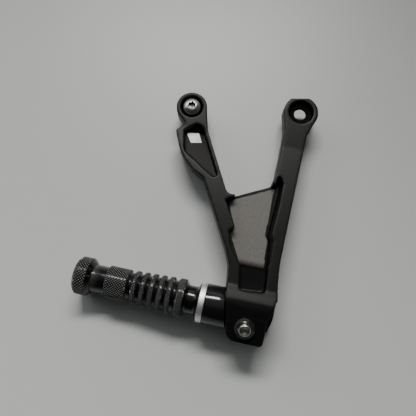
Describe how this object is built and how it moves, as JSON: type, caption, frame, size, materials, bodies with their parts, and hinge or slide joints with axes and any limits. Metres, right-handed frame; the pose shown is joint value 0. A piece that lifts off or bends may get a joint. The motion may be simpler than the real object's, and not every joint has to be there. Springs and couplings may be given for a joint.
{
  "type": "folding foot peg with hanger",
  "caption": "Folding knurled foot peg on a V-shaped forged hanger with bolt eyelets, a clevis hinge, a pin with clip and a loose mounting bolt.",
  "frame": {"origin": "on the free eyelet's bolt axis, in the plane of its back face", "axes": "+Z out of the hanger's front face, along the bolts; -X along the peg; +Y from the hinge up to the eyelets"},
  "size_m": [0.1515, 0.1887, 0.0367],
  "materials": {
    "forged_coat": "satin black powder coat on forged aluminium, lighter and rougher on the web",
    "black_anodised": "gloss black anodised, diamond knurled on its crests",
    "bright_ring": "turned bright aluminium",
    "stainless": "polished stainless steel",
    "spring_steel": "bright spring steel",
    "bearing_bronze": "sintered bronze",
    "slide_plastic": "white low-friction plastic",
    "seal_rubber": "black rubber",
    "label_white": "blank white printed label"
  },
  "bodies": {
    "hanger": {"bracket_forging": "forged_coat", "code_label": "label_white", "pin_washer": "stainless", "front_thrust_washer": "slide_plastic", "rear_thrust_washer": "slide_plastic"},
    "peg": {"peg_adapter": "black_anodised", "hinge_bush": "bearing_bronze", "thread_insert": "stainless", "detent_ball": "stainless", "detent_spring": "spring_steel", "spacer_ring": "bright_ring", "peg_sleeve": "black_anodised", "roll_pin": "spring_steel", "peg_bolt": "stainless", "peg_lock_washer": "spring_steel", "end_knob": "black_anodised", "knob_o_ring": "seal_rubber"},
    "pin": {"hinge_pin": "stainless", "pin_clip": "spring_steel"},
    "loose_bolt": {"mount_bolt": "stainless"}
  },
  "joints": [
    {"name": "peg_fold", "type": "hinge", "parent": "hanger", "child": "peg", "pos_m": [-0.013, -0.161, 0.00825], "axis": [-0.0447, -0.3173, 0.9473], "range_deg": [0, 90]},
    {"name": "pin_turn", "type": "hinge", "parent": "hanger", "child": "pin", "pos_m": [-0.013, -0.161, 0.00825], "axis": [-0.0447, -0.3173, 0.9473], "continuous": true},
    {"name": "bolt_slide", "type": "slide", "parent": "hanger", "child": "loose_bolt", "axis": [0, 0, 1], "range_m": [-0.0059, 0.03]}
  ]
}
